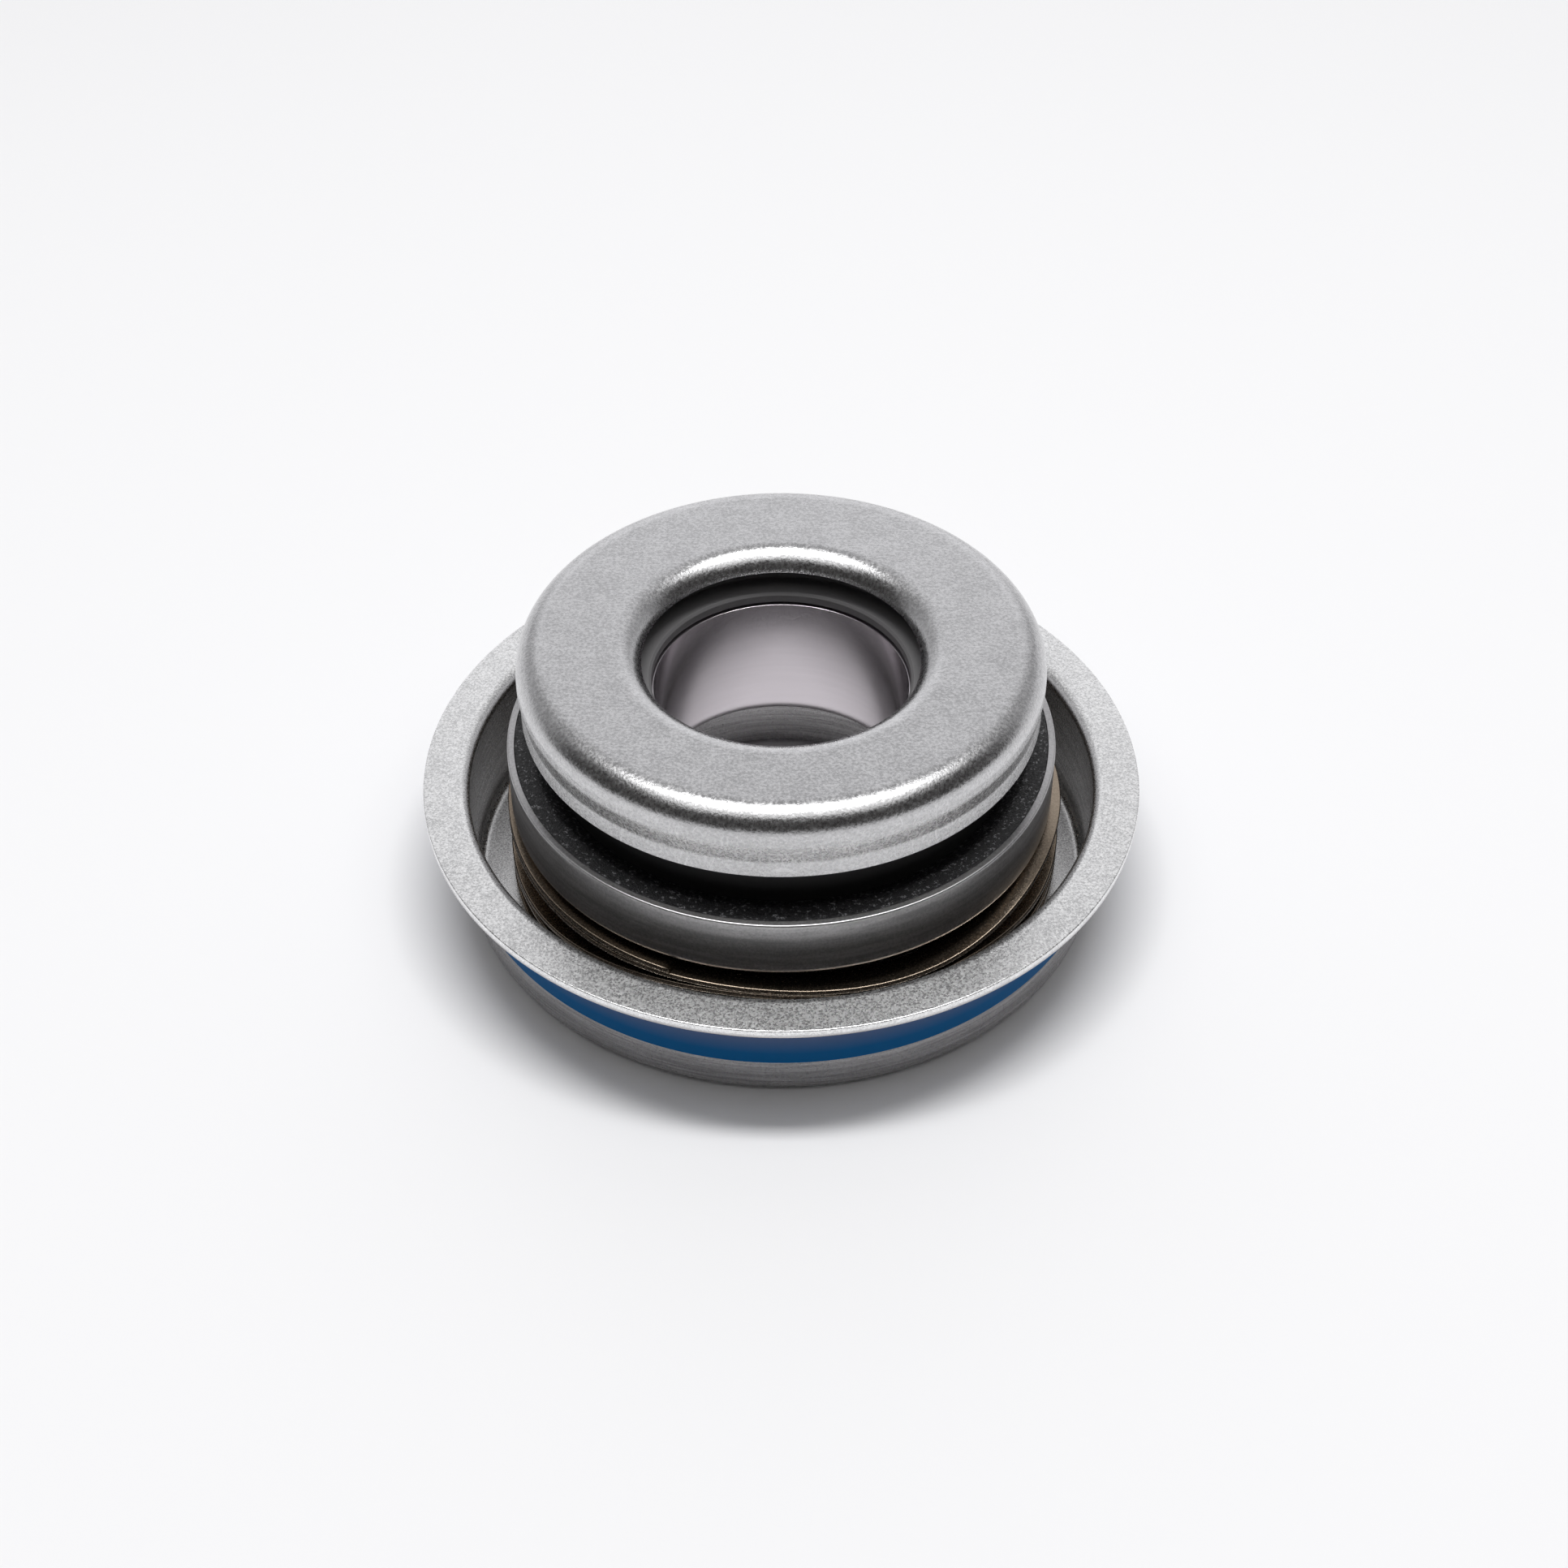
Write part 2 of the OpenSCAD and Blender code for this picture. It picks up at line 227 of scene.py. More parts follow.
# %% Cup
SEALANT_T = 0.04
CUP_T = 0.45
CUP_R = radius("sealant_band") - SEALANT_T
FLANGE_R, FLANGE_Z = radius("housing_cup"), heights("housing_cup")[1]
SLEEVE_OUT_R = 6.45
LIP_GAP = 0.5  # from the sleeve to the cup's inner lip
LIP_R, LIP_Z = SLEEVE_OUT_R + LIP_GAP, 4.7
FLARE_R = radius("shaft_sleeve")
FLARE_GAP = 0.7  # from the sleeve's flare to the cup's inner tube
TUBE_IN_R = FLARE_R + FLARE_GAP
CUP_MID = CUP_T / 2
cup = turned(
    "cup",
    sheet_outline([
        (FLANGE_R, FLANGE_Z - CUP_MID, 0.06),
        (CUP_R - CUP_MID, FLANGE_Z - CUP_MID, 0.08),
        (CUP_R - CUP_MID, CUP_MID, 0.45),
        (TUBE_IN_R + CUP_MID, CUP_MID, 0.65),
        (TUBE_IN_R + CUP_MID, LIP_Z + CUP_MID, 0.3),
        (LIP_R, LIP_Z + CUP_MID, 0.06),
    ], CUP_T),
    "housing", "housing_cup",
)

# %% [markdown]
# The sealant
#
# A thin coat of blue sealant lies on the upper wall, where the cup is pressed into
# the pump. It is a piece of its own, a flat ring round the wall, because its edge
# then has a real step that catches the light.

# %% Sealant
BAND_Z0, BAND_Z1 = heights("sealant_band")
sealant = turned(
    "sealant",
    rounded_outline([
        (CUP_R, BAND_Z0, 0),
        (CUP_R + SEALANT_T, BAND_Z0, 0.02),
        (CUP_R + SEALANT_T, BAND_Z1, 0.02),
        (CUP_R, BAND_Z1, 0),
    ], support=0.01),
    "housing", "sealant_band",
)

# %% [markdown]
# The wave spring
#
# A flat wire is wound on edge, a little over four and a half turns. It waves up
# and down, so each crest meets a trough of the next turn. A real one isn't quite
# regular: under load its crests lean on each other. So the turns in sight get
# their own list of crests and troughs, and the hidden turns below wave evenly.

# %% Crests and troughs of the wire
WIRE_T, WIRE_W = 0.28, 1.3
END_ANGLE, TURNS = -113.0, 4.65
# Angle round the shaft, from the upper cut end down the wire, and height of its top
SEEN_WAVES = [
    (-113, 4.92), (-150, 4.91), (-196, 5.22), (-240, 4.80), (-290, 5.22), (-335, 4.75),
    (-374, 5.16), (-420, 4.24), (-462, 4.70), (-492, 4.52), (-535, 4.62), (-590, 3.95),
    (-640, 4.40), (-735, 2.95), (-778, 3.72), (-818, 4.36), (-885, 2.60),
]
LOW_COUNT, LOW_SWING = 18, 0.22  # number of the even waves, and their swing each way


def wave_list():
    """The seen waves, then even ones: their middle falls in a straight line to the cup's
    floor, and they swing above and below it in turn."""
    end = END_ANGLE - 360 * TURNS
    start_a, start_z = SEEN_WAVES[-1]
    k = np.arange(1, LOW_COUNT + 1)
    angle = start_a + (end - start_a) * k / LOW_COUNT
    floor_z = CUP_T + WIRE_T
    middle = start_z + LOW_SWING + (floor_z - start_z) * k / LOW_COUNT
    height = middle - LOW_SWING * (-1.0) ** k
    return np.concatenate([np.array(SEEN_WAVES, float), np.stack([angle, height], axis=1)])


def wire_top(angle):
    """Height of the wire's top: between two entries of the list it follows half a cosine
    wave, so it is level at each of them."""
    i = np.clip(np.searchsorted(-WAVES[:, 0], -angle, side="right") - 1, 0, len(WAVES) - 2)
    part = (WAVES[i, 0] - angle) / (WAVES[i, 0] - WAVES[i + 1, 0])
    rise = (1 - np.cos(np.pi * np.clip(part, 0, 1))) / 2
    return WAVES[i, 1] + (WAVES[i + 1, 1] - WAVES[i, 1]) * rise


def least_gap():
    """Least height between a turn and the one under it."""
    angle = END_ANGLE - np.arange(0, 360 * (TURNS - 1), 2.0)
    return np.min(wire_top(angle) - wire_top(angle - 360)) - WIRE_T


WAVES = wave_list()
print("waves: %d, least gap between turns: %.3f mm" % (len(WAVES), least_gap()))

# %% [markdown]
# The wire's section is carried along that path. As the seal head slides down, the
# real spring shortens; this mesh is built at one length only.

# %% Wave spring
SPRING_R = radius("wave_spring")
SPRING_LEAN = 0.15  # how far the spring sits off the shaft's axis
STEPS = 192  # sections in each turn
WIRE_EDGE = 0.07


def wave_spring():
    """A rounded rectangle is carried along the wire: at each angle it stands at the
    spring's radius and hangs from the height of the wire's top."""
    angle = END_ANGLE - 360 * np.linspace(TURNS, 0, int(STEPS * TURNS) + 1)
    z = wire_top(angle) - WIRE_T / 2
    section = rounded_outline([
        (SPRING_R - WIRE_W, -WIRE_T / 2, WIRE_EDGE),
        (SPRING_R, -WIRE_T / 2, WIRE_EDGE),
        (SPRING_R, WIRE_T / 2, WIRE_EDGE),
        (SPRING_R - WIRE_W, WIRE_T / 2, WIRE_EDGE),
    ], support=0.02)
    # The ends close on a slightly shrunk copy of the section and then on its middle
    centre = section.mean(axis=0)
    sizes = np.concatenate([[0.0, 0.9], np.ones(len(angle)), [0.9, 0.0]])[:, None, None]
    sections = centre + (section - centre) * sizes
    a = np.radians(np.concatenate([angle[:1]] * 2 + [angle] + [angle[-1:]] * 2))[:, None]
    z = np.concatenate([z[:1]] * 2 + [z] + [z[-1:]] * 2)[:, None]
    r = sections[:, :, 0]
    return np.stack([r * np.cos(a) + SPRING_LEAN, r * np.sin(a), z + sections[:, :, 1]], axis=-1)


SHELL_Z0, SHELL_Z1 = heights("retainer_shell")
spring = grid_mesh("spring", wave_spring(), "housing", close_u=False, node="wave_spring")
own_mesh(spring)

# %% [markdown]
# The retainer shell
#
# The shell is a low drawn ring that holds the rubber round the carbon. Its floor,
# turned inward, sits on the spring. The rim is rounded outside and sharp inside, so
# it shows as one thin bright line.

# %% Shell
SHELL_R, SHELL_T = radius("retainer_shell"), 0.35
SHELL_IN_R = SHELL_R - SHELL_T
FOLD_GAP = 0.5  # from the spring to the bellows inside it
FOLD_R = SPRING_R - WIRE_W - FOLD_GAP
SHELL_FLOOR_R = FOLD_R + 0.35  # clear of the fold
CUSHION_Z = SHELL_Z0 + SHELL_T
shell = turned(
    "shell",
    rounded_outline([
        (SHELL_R, SHELL_Z1, 0.1),
        (SHELL_R, SHELL_Z0, 0.4),
        (SHELL_FLOOR_R, SHELL_Z0, 0.05),
        (SHELL_FLOOR_R, CUSHION_Z, 0.05),
        (SHELL_IN_R, CUSHION_Z, 0.05),
        (SHELL_IN_R, SHELL_Z1, 0),
    ]),
    "seal_head", "retainer_shell",
)

# %% [markdown]
# The carbon ring
#
# The seal runs on this ring: a narrow nose on its top is lapped flat and pressed on
# the mating ring. Only its side shows, as a dark grey band under the cap.

# %% Carbon
CARBON_R = radius("carbon_ring")
CARBON_Z, FACE_Z = heights("carbon_ring")
CARBON_IN_R = TUBE_IN_R + CUP_T + 0.4  # clear of the cup's tube
NOSE_W, NOSE_H = 1.15, 0.6
NOSE_R, NOSE_Z = CARBON_IN_R + NOSE_W, FACE_Z - NOSE_H
carbon = turned(
    "carbon",
    rounded_outline([
        (CARBON_IN_R, CARBON_Z, 0.05),
        (CARBON_R, CARBON_Z, 0.05),
        (CARBON_R, NOSE_Z, 0.12),
        (NOSE_R, NOSE_Z, 0.05),
        (NOSE_R, FACE_Z, 0.03),
        (CARBON_IN_R, FACE_Z, 0.03),
    ]),
    "seal_head", "carbon_ring",
)

# %% [markdown]
# The rubber bellows
#
# A collar between shell and carbon is all that shows, and it dips towards the
# carbon. Below it hang a cushion, one thin fold and a foot that grips the cup's
# tube. On the real seal the foot stays with the cup while the collar moves with the
# head, and the fold takes up the way; here the piece rides on no body.

# %% Bellows
FOLD_T = 0.8
GRIP_Z = heights("bellows")[0]
GRIP_H = 1.8
GRIP_TOP_Z = GRIP_Z + GRIP_H
FOLD_Z = GRIP_TOP_Z + FOLD_T
TUBE_R = TUBE_IN_R + CUP_T
COLLAR_MID_R = (CARBON_R + SHELL_IN_R) / 2
COLLAR_DIP = 0.48
bellows = turned(
    "bellows_rubber",
    rounded_outline([
        (CARBON_IN_R, CARBON_Z, 0.05),
        (CARBON_IN_R, CUSHION_Z, 0.05),
        (FOLD_R - FOLD_T, CUSHION_Z, 0.2),
        (FOLD_R - FOLD_T, FOLD_Z, 0.2),
        (TUBE_R, FOLD_Z, 0.4),
        (TUBE_R, GRIP_Z, 0.05),
        (TUBE_R + FOLD_T, GRIP_Z, 0.05),
        (TUBE_R + FOLD_T, FOLD_Z - FOLD_T, 0.2),
        (FOLD_R, FOLD_Z - FOLD_T, 1.0),
        (FOLD_R, CUSHION_Z, 0.2),
        (SHELL_IN_R, CUSHION_Z, 0.05),
        (SHELL_IN_R, SHELL_Z1, 0.06),
        (COLLAR_MID_R, SHELL_Z1, 0.5),
        (CARBON_R, SHELL_Z1 - COLLAR_DIP, 0.05),
        (CARBON_R, CARBON_Z, 0.02),
    ]),
    None, "bellows",
)
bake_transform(bellows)

# %% [markdown]
# The shaft sleeve
#
# The sleeve is the light tube seen through the cap, pressed on the pump's shaft. Its
# lower end is bent outward under the cup's lip, which keeps the cartridge together.

# %% Sleeve
SLEEVE_T = 0.45
BORE_R = SLEEVE_OUT_R - SLEEVE_T
SLEEVE_Z = heights("shaft_sleeve")[1]
FLARE_Z = LIP_Z - 0.07  # just clear of the cup's lip
sleeve = turned(
    "sleeve",
    sheet_outline([
        (BORE_R + SLEEVE_T / 2, SLEEVE_Z, 0.03),
        (BORE_R + SLEEVE_T / 2, FLARE_Z - SLEEVE_T / 2, 0.75),
        (FLARE_R, FLARE_Z - SLEEVE_T / 2, 0.03),
    ], SLEEVE_T),
    "rotor", "shaft_sleeve",
)

# %% [markdown]
# The cap
#
# The cap is one drawn sheet: it rolls into the bore, runs flat, turns a soft
# corner into a bead, and ends in a skirt whose rim flares a little. The roll stops
# short of a full quarter turn, so its middle line ends on a slanted leg: a tangent
# of the bend, a little longer than the bend itself needs.

# %% Section of the cap
CAP_T = 0.45
CAP_MID = CAP_T / 2
CAP_Z0, CAP_Z = heights("rotor_cap")
BEAD_R, BEAD_Z = radius("rotor_cap"), CAP_Z - 1.72
WAIST_R, WAIST_Z = BEAD_R - 0.17, CAP_Z0 + 0.85
RIM_R = BEAD_R - 0.1
CORNER_R = 0.85
ROLL_BEND = 0.85  # inside radius of the rolled lip
ROLL_END = math.radians(72)  # how far the lip is rolled
ROLL_R = BORE_R + 0.95  # where the flat face and the slanted leg would meet
ROLL_LEG = 1.03 * ((ROLL_BEND + CAP_MID) * math.tan(ROLL_END / 2))
cap_outline = sheet_outline([
    (ROLL_R - ROLL_LEG * math.cos(ROLL_END), CAP_Z - CAP_MID - ROLL_LEG * math.sin(ROLL_END), 0.02),
    (ROLL_R, CAP_Z - CAP_MID, ROLL_BEND),
    (BEAD_R - CAP_MID, CAP_Z - CAP_MID, CORNER_R),
    (BEAD_R - CAP_MID, BEAD_Z, 0.5),
    (WAIST_R - CAP_MID, WAIST_Z, 0.5),
    (RIM_R - CAP_MID, CAP_Z0, 0.02),
], CAP_T)
print("cap: outline of %d points, lip rolled %.0f degrees" % (len(cap_outline), math.degrees(ROLL_END)))

# %% [markdown]
# The hole isn't quite in the middle of the cap, so the lip's highlights sit nearer
# to one side. The turned grid is shifted there, fully at the hole and less and less
# outward, so the outer rim stays round.

# %% Cap
HOLE_SHIFT = 0.33  # how far the hole sits off the axis, towards the camera
SHIFT_FULL_R, SHIFT_NONE_R = 8.2, 10.8


def pierced_off_centre(points):
    """Points moved towards -y by the shift times a smooth step, p p (3 - 2 p), where p
    falls from 1 to 0 between the two radii."""
    r = np.hypot(points[..., 0], points[..., 1])
    p = np.clip((SHIFT_NONE_R - r) / (SHIFT_NONE_R - SHIFT_FULL_R), 0, 1)
    moved = points.copy()
    moved[..., 1] -= HOLE_SHIFT * p * p * (3 - 2 * p)
    return moved


cap_points = pierced_off_centre(lathe_grid(cap_outline))
cap = grid_mesh("cap", cap_points, "rotor", node="rotor_cap", flip=True)

# %% [markdown]
# The rubber boot
#
# The boot holds the hard mating ring in the cap and grips the sleeve. Its rounded
# rib lies on the sleeve's upper edge and shows as a dark ring in the bore, under a
# groove that runs up to the cap.

# %% Boot
BOOT_R, BOOT_Z = radius("mating_ring_boot"), heights("mating_ring_boot")[0]
RING_R, RING_TOP_Z = radius("mating_ring"), heights("mating_ring")[1]
BOOT_T = 0.95  # rubber between the sleeve and the mating ring
RING_IN_R = SLEEVE_OUT_R + BOOT_T
GROOVE_R = RING_IN_R - 0.08  # covers the ring's inner edge
RIB_R, RIB_Z = SLEEVE_OUT_R - 0.36, SLEEVE_Z + 0.12
RIB_H, RIB_SLOPE = 0.38, 0.12
CAP_IN_Z = CAP_Z - CAP_T
boot = turned(
    "boot",
    rounded_outline([
        (SLEEVE_OUT_R, BOOT_Z, 0.05),
        (RING_IN_R, BOOT_Z, 0.05),
        (RING_IN_R, RING_TOP_Z, 0.02),
        (RING_R, RING_TOP_Z, 0.02),
        (RING_R, BOOT_Z, 0.05),
        (BOOT_R, BOOT_Z, 0.05),
        (BOOT_R, CAP_IN_Z - CORNER_R, 0.1),
        (BOOT_R - CORNER_R, CAP_IN_Z, 0.1),
        (GROOVE_R + BOOT_T, CAP_IN_Z, 0.02),
        (GROOVE_R, RING_TOP_Z - RIB_SLOPE, 0.1),
        (GROOVE_R, RIB_Z + (RIB_H + 2 * RIB_SLOPE), 0.1),
        (RIB_R + RIB_SLOPE, RIB_Z + (RIB_H + RIB_SLOPE), 0.06),
        (RIB_R, RIB_Z + RIB_H, 0.06),
        (RIB_R, RIB_Z, 0.04),
        (SLEEVE_OUT_R, SLEEVE_Z, 0.01),
    ]),
    "rotor", "mating_ring_boot",
)

# %% [markdown]
# Shader nodes in short
#
# Every finish is worked out by shader nodes, with no pictures. A value given to a
# node is set on its socket, and the output of another node is linked to it, so a
# pattern reads like a formula. All patterns read the object's own coordinates.

# %% Helpers for nodes
class Nodes:
    """Short calls that add nodes to a tree and hand back their output."""

    def __init__(self, tree):
        self.tree = tree

    def add(self, kind, inputs=None, **settings):
        node = self.tree.nodes.new(kind)
        for key, value in settings.items():
            setattr(node, key, value)
        for key, value in (inputs or {}).items():
            if isinstance(value, bpy.types.NodeSocket):
                self.tree.links.new(value, node.inputs[key])
            else:
                node.inputs[key].default_value = value
        return node

    def ramp(self, value, low, high, to_low=0.0, to_high=1.0, ease="LINEAR"):
        """value from low to high mapped to to_low to to_high, and held there outside."""
        return self.add("ShaderNodeMapRange", {
            "Value": value, "From Min": low, "From Max": high,
            "To Min": to_low, "To Max": to_high}, interpolation_type=ease).outputs[0]

    def math(self, operation, a, b=0.0):
        return self.add("ShaderNodeMath", {0: a, 1: b}, operation=operation).outputs[0]

    def product(self, first, *others):
        for other in others:
            first = self.math("MULTIPLY", first, other)
        return first

    def mix(self, factor, a, b):
        """Colour a where the factor is 0 and b where it is 1."""
        a, b = ((*c, 1) if isinstance(c, tuple) else c for c in (a, b))
        return self.add("ShaderNodeMix", {0: factor, 6: a, 7: b}, data_type="RGBA").outputs[2]


class Finish(Nodes):
    """A material under construction: a Principled shader and the patterns that drive it.
    Sizes and depths are in millimetres."""

    def __init__(self, name, colour, metallic, roughness, specular=0.5):
        self.material = bpy.data.materials.new(name)
        self.material.use_nodes = True
        super().__init__(self.material.node_tree)
        self.sockets = self.tree.nodes["Principled BSDF"].inputs
        self.sockets["Base Color"].default_value = (*colour, 1)
        self.sockets["Metallic"].default_value = metallic
        self.sockets["Roughness"].default_value = roughness
        self.sockets["Specular IOR Level"].default_value = specular
        self.where = self.add("ShaderNodeTexCoord").outputs["Object"]

    def link(self, output, name):
        self.tree.links.new(output, self.sockets[name])

    def noise(self, size, detail=2.0, rough=0.5, stretch=(1, 1, 1), turn=0.0):
        """Noise whose spots are about size across, drawn out where stretch is under 1."""
        place = self.add("ShaderNodeMapping", {
            "Vector": self.where, "Scale": stretch, "Rotation": (0, 0, turn)})
        return self.add("ShaderNodeTexNoise", {
            "Vector": place.outputs[0], "Scale": 1 / (size * MM), "Detail": detail,
            "Roughness": rough}).outputs[0]

    def bump(self, height, depth, strength=1.0):
        return self.add("ShaderNodeBump", {
            "Height": height, "Strength": strength, "Distance": depth * MM}).outputs[0]

    def on(self, *pieces):
        for piece in pieces:
            piece.data.materials.clear()
            piece.data.materials.append(self.material)
            print("%s on %s" % (self.material.name, piece.name))


# %% [markdown]
# Tumbled steel
#
# Cap and cup look like sheet that was tumbled with stones after drawing. Such steel
# is not one grey: a fine grain of about a tenth of a millimetre scatters the light,
# the colour drifts over a millimetre or so, and a few short scratches cross it. The
# same grain drives colour, roughness and bump, so that they agree as they do on a
# real surface.

# %% Tumbled finish of the cap
SCRATCH_W, SCRATCH_SHARE = 0.06, 0.32


def shades(colour, spread):
    """The colour darkened and lightened by the share spread."""
    return tuple(c * (1 - spread) for c in colour), tuple(min(1.0, c * (1 + spread)) for c in colour)


def scratches(finish, turn, length):
    """Short straight scratches: noise stretched along one direction, of which only the
    highest crests are kept."""
    lines = finish.noise(1.0, 1.0, 0.4, (1 / length, 1 / SCRATCH_W, 1 / length), turn)
    return finish.ramp(lines, 1 - SCRATCH_SHARE, 1 - SCRATCH_SHARE + 0.06)


def tumbled(name, colour, roughness, grain, drift, pits, size):
    """Tumbled sheet. size is the grain's size, drift how far it changes the colour, grain
    how far it changes the roughness, and pits how deep it is. Scratches run two ways."""
    finish = Finish(name, colour, 1.0, roughness)
    fine = finish.noise(size, 2.0, 0.7)
    broad = finish.noise(1.6, 3.0, 0.55)
    tone = finish.math("ADD", finish.product(fine, 0.8), finish.product(broad, 0.2))
    finish.shade = finish.mix(finish.ramp(tone, 0.38, 0.62), *shades(colour, drift))
    lines = finish.math("MAXIMUM", scratches(finish, 0.4, 2.2), scratches(finish, 1.7, 1.8))
    finish.shade = finish.mix(finish.product(lines, 0.5), finish.shade, shades(colour, 0.35)[1])
    finish.link(finish.shade, "Base Color")
    finish.link(finish.ramp(fine, 0.3, 0.7, roughness - grain, roughness + grain), "Roughness")
    finish.link(finish.bump(fine, pits), "Normal")
    return finish


cap_steel = tumbled(
    "tumbled_cap_steel", (0.58, 0.578, 0.585), roughness=0.27, grain=0.06, drift=0.17, pits=0.01, size=0.14)
cap_steel.on(cap)

# %% [markdown]
# The cup's walls under the flange are coloured darker than its flange: painted shade,
# for the shade that falls there, carrying the fine rings that a die leaves where it
# irons the sheet. The floor keeps the tumbled look. Height and distance from the
# shaft tell the places apart.

# %% Painted shade and die rings on the cup's walls
FLOOR_TOP_Z = 0.6  # the tumbled look of the floor ends above this
FLOOR_IN_R = 13  # and inside this radius


def ironed_walls_and_shade(finish):
    """Painted shade, with the die's rings, where the height is under the flange, except on
    the floor, which is low and lies at a reach, the root of x x + y y, between the tube
    and the wall."""
    x, y, z = finish.add("ShaderNodeSeparateXYZ", {0: finish.where}).outputs
    reach = finish.math("SQRT", finish.math("ADD", finish.product(x, x), finish.product(y, y)))
    on_floor = finish.product(
        finish.ramp(z, (FLOOR_TOP_Z + 0.3) * MM, FLOOR_TOP_Z * MM),
        finish.ramp(reach, (FLOOR_IN_R - 1) * MM, FLOOR_IN_R * MM),
        finish.ramp(reach, (CUP_R - 0.2) * MM, (CUP_R - 0.4) * MM))
    # Painted shade: below the flange the walls get a darker colour in place of the shade there; only the
    # rings are the die's
    below = finish.ramp(z, (FLANGE_Z - 0.2) * MM, (FLANGE_Z - 0.4) * MM)
    rings = finish.ramp(finish.noise(0.12, 2.0, 0.6, (0.03, 0.03, 1)), 0.35, 0.65)
    ironed_and_shaded = finish.mix(rings, (0.33, 0.322, 0.326), (0.5, 0.49, 0.495))
    finish.link(finish.mix(finish.math("SUBTRACT", below, on_floor), finish.shade, ironed_and_shaded), "Base Color")


cup_steel = tumbled(
    "tumbled_cup_steel", (0.86, 0.86, 0.862), roughness=0.29, grain=0.08, drift=0.22, pits=0.011, size=0.11)
ironed_walls_and_shade(cup_steel)
cup_steel.on(cup)

# %% [markdown]
# Drawn steel
#
# Shell and sleeve look as the die left them: smooth, with faint rings round the
# shaft and a fine cloudiness. The spring's wire is darker, with a warm tint. One
# function makes all three, with a colour and a roughness each.

# %% Drawn finishes
def drawn(name, colour, roughness, streak, pits=0.004):
    """Drawn sheet. streak is how far rings and cloudiness together change the colour, and
    pits is the bump's depth. The rings are noise drawn out along x and y."""
    finish = Finish(name, colour, 1.0, roughness)
    rings = finish.noise(0.25, 2.0, 0.5, (0.05, 0.05, 1))
    cloud = finish.noise(0.12, 3.0, 0.6)
    tone = finish.math("ADD", finish.product(rings, 0.5), finish.product(cloud, 0.5))
    finish.link(finish.mix(finish.ramp(tone, 0.4, 0.6), *shades(colour, streak)), "Base Color")
    finish.link(finish.ramp(cloud, 0.3, 0.7, roughness - 0.04, roughness + 0.04), "Roughness")
    finish.link(finish.bump(cloud, pits), "Normal")
    return finish


drawn("drawn_shell_steel", (0.44, 0.435, 0.44), 0.32, 0.2).on(shell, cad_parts["bellows_clamp_ring"])
drawn("drawn_sleeve_steel", (0.66, 0.62, 0.65), 0.17, 0.02, 0.001).on(sleeve)
drawn("spring_wire", (0.33, 0.27, 0.21), 0.26, 0.15).on(spring)

# %% [markdown]
# The sealant's colour
#
# The coat is a deep blue. Towards its upper edge under the flange it is painted paler
# and greyer, a painted reflection of the flange above it. A ramp of the height does
# it. The coat hardly shines, so its specular level is low.

# %% Sealant finish
blue = Finish("blue_sealant", (0.01, 0.1, 0.22), 0.0, 0.35, specular=0.06)
height = blue.add("ShaderNodeSeparateXYZ", {0: blue.where}).outputs[2]
# Painted reflection: the coat turns paler and greyer towards the flange, standing in for the flange's
# reflection
up = blue.ramp(height, (BAND_Z0 + 0.6) * MM, (BAND_Z1 - 0.4) * MM)
blue.link(blue.mix(up, (0.0, 0.1, 0.28), (0.22, 0.19, 0.25)), "Base Color")
blue.link(blue.bump(blue.noise(0.5), 0.01, 0.4), "Normal")
blue.on(sealant)

# %% [markdown]
# Rubber
#
# The bellows are nearly black and rough, with small pale flecks: noise of which only
# the highest spots are kept. The boot is smooth, and dark grey more than black.

# %% Rubber finishes
BLACK = (0.006, 0.006, 0.007)
rubber = Finish("bellows_rubber", BLACK, 0.0, 0.6, specular=0.35)
speck = rubber.noise(0.14, 3.0, 0.7)
flecks = rubber.ramp(rubber.noise(0.16, 3.0, 0.75), 0.59, 0.64)
rubber.link(rubber.mix(flecks, BLACK, (0.22, 0.22, 0.23)), "Base Color")
rubber.link(rubber.ramp(speck, 0.35, 0.65, 0.25, 0.65), "Roughness")
rubber.link(rubber.bump(speck, 0.09), "Normal")
rubber.on(bellows)

smooth = Finish("boot_rubber", (0.14, 0.137, 0.14), 0.0, 0.5)
smooth.link(smooth.bump(smooth.noise(0.3), 0.01, 0.5), "Normal")
smooth.on(boot)

# %% [markdown]
# The running rings
#
# Carbon and ceramic are plain and dull. Only their roughness varies a little, which
# keeps them from looking like plastic.

# %% Carbon and ceramic finishes
graphite = Finish("carbon_graphite", (0.03, 0.03, 0.031), 0.0, 0.38)
graphite.link(graphite.ramp(graphite.noise(0.08), 0.3, 0.7, 0.34, 0.44), "Roughness")
graphite.on(carbon)

ceramic = Finish("lapped_ceramic", (0.72, 0.71, 0.68), 0.0, 0.25)
ceramic.link(ceramic.ramp(ceramic.noise(0.1), 0.3, 0.7, 0.2, 0.3), "Roughness")
ceramic.on(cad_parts["mating_ring"])

# %% [markdown]
# The floor
#
# The seal stands on a pale matt sheet that runs far past the picture's edge. Its
# own colour makes the background light, so the lamps can stay at a plain level.

# %% Floor
REACH = 2
floor_mesh = bpy.data.meshes.new("floor")
floor_mesh.from_pydata(
    [(-REACH, -REACH, 0), (REACH, -REACH, 0), (REACH, REACH, 0), (-REACH, REACH, 0)], [], [(0, 1, 2, 3)])
floor = bpy.data.objects.new("floor", floor_mesh)
bpy.context.scene.collection.objects.link(floor)
Finish("pale_floor", (0.86, 0.86, 0.87), 0.0, 0.7, specular=0.1).on(floor)

# %% [markdown]
# The world
#
# Polished metal shows what stands round it. Here the room is bright behind the seal
# and dark in front, which gives the bands along its bends. The bright part is
# narrower to the sides, but full near the horizon, and dim towards the zenith,
# where the lamps take over. The world's Generated coordinates are the direction of
# view, so ramps along them make the room.

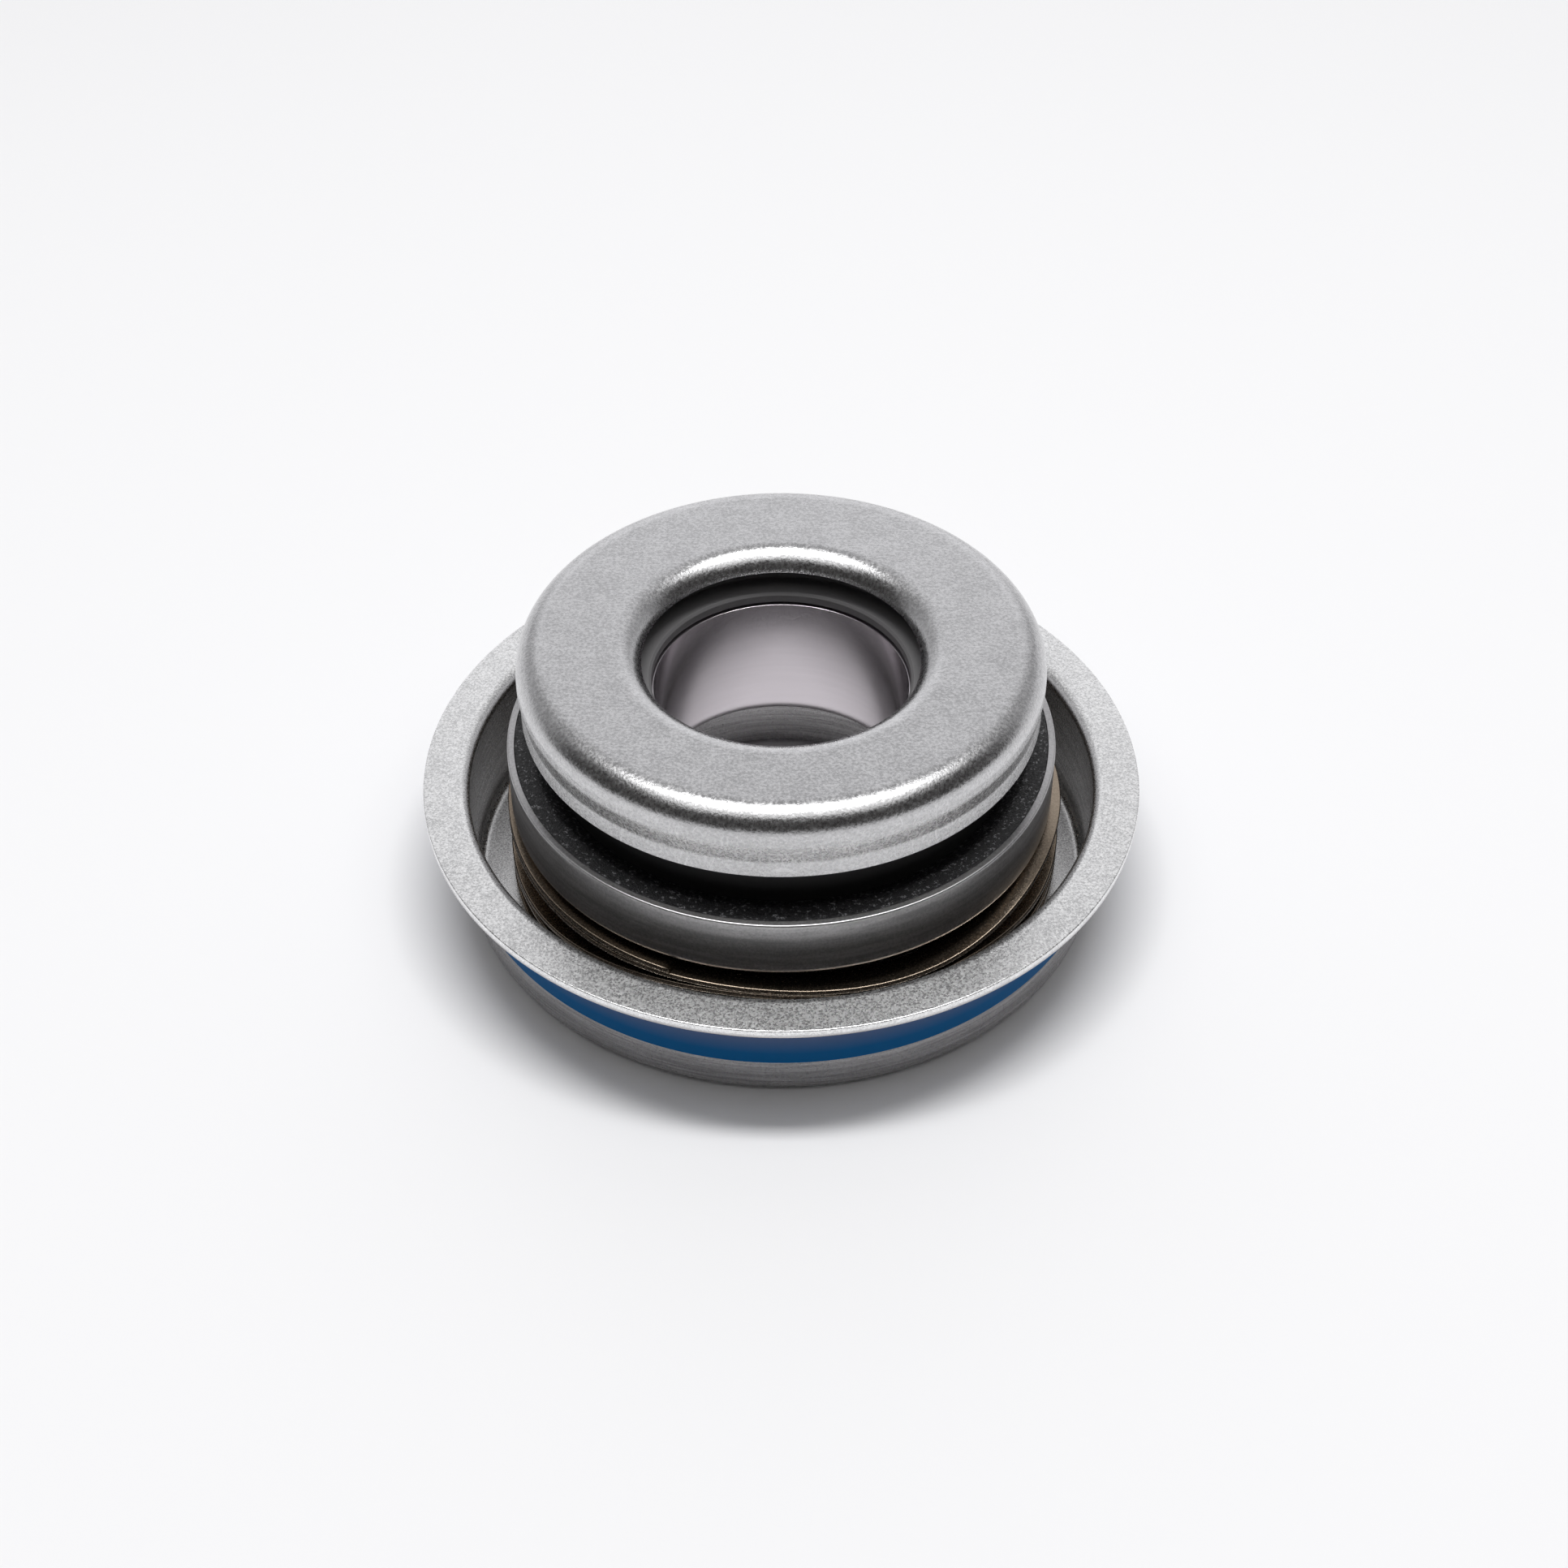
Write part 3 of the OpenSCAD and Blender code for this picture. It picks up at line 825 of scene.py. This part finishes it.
# %% World
BACK, FRONT = (1.02, 1.02, 1.04), (0.045, 0.043, 0.042)
EASE = "SMOOTHSTEP"
world = bpy.data.worlds.new("studio")
world.use_nodes = True
bpy.context.scene.world = world
room = Nodes(world.node_tree)
direction = room.add("ShaderNodeTexCoord").outputs["Generated"]
x, y, z = room.add("ShaderNodeSeparateXYZ", {0: direction}).outputs
behind = room.ramp(y, 0.0, 0.5, ease=EASE)
under_zenith = room.ramp(z, 0.45, 0.95, 1.0, 0.2, EASE)
inward = room.ramp(room.math("ABSOLUTE", x), 0.2, 0.6, 1.0, 0.4, EASE)
horizon = room.ramp(z, 0.02, 0.3, 1.0, 0.0, EASE)
bright = room.product(behind, under_zenith, room.math("MAXIMUM", inward, horizon))
room.tree.links.new(room.mix(bright, FRONT, BACK), room.tree.nodes["Background"].inputs["Color"])
print("world: %d nodes" % len(room.tree.nodes))

# %% [markdown]
# The lamps
#
# Two lamps hang overhead. A strong compact one, a little behind the zenith, throws
# the shadow and the white crescents on the bends. A weak wide one, mostly in front
# of the zenith, opens the shadow and keeps the front of the seal from going black.
# Each is placed by the angles at which the seal sees its edges, because those
# angles are what a reflection shows.

# %% Lamps
def soft_lamp(name, start, end, width, side, level, height):
    """A rectangular lamp overhead. start and end are the angles behind the zenith at which
    the seal sees its edges, side its shift along X, and level its brightness: its power
    is level times pi times its area."""
    y0 = height * math.tan(math.radians(start))
    y1 = height * math.tan(math.radians(end))
    data = bpy.data.lights.new(name, "AREA")
    data.shape = "RECTANGLE"
    data.size, data.size_y = width, y1 - y0
    data.energy = level * math.pi * width * (y1 - y0)
    lamp = bpy.data.objects.new(name, data)
    lamp.location = (side, (y0 + y1) / 2, height)
    bpy.context.scene.collection.objects.link(lamp)
    print("%s: %.2f m deep at %.2f m" % (name, y1 - y0, height))


soft_lamp("softbox", start=-32, end=16, width=0.7, side=0.02, level=1.1, height=0.5)
soft_lamp("core", start=-1.5, end=7.5, width=0.34, side=0.01, level=19.5, height=0.49)

# %% [markdown]
# The camera
#
# It looks down on the seal from about twelve centimetres away. Its place and lens
# were fitted to the ellipses of flange, cap and bore: how flat each one is gives the
# angle, and how they shrink with distance gives the lens.

# %% Camera
SENSOR = 36.0
LENS_PX, IMAGE_PX = 2988.0, 1932.0  # focal length and picture width, in pixels
AWAY, ABOVE_FLANGE = 0.08747, 0.07836  # distance from the axis and height, in metres
LOOK_DOWN, TURN = 42.30, -0.0015  # in degrees, and in radians
camera_data = bpy.data.cameras.new("camera")
camera_data.sensor_width = SENSOR
camera_data.lens = SENSOR * LENS_PX / IMAGE_PX
camera_data.clip_start = 0.005
camera = bpy.data.objects.new("camera", camera_data)
camera.location = (0, -AWAY, FLANGE_Z * MM + ABOVE_FLANGE)
camera.rotation_euler = (math.radians(90 - LOOK_DOWN), 0, TURN)
bpy.context.scene.collection.objects.link(camera)
bpy.context.scene.camera = camera
bpy.context.scene.view_settings.view_transform = "Standard"
print("lens: %.1f mm" % camera_data.lens)
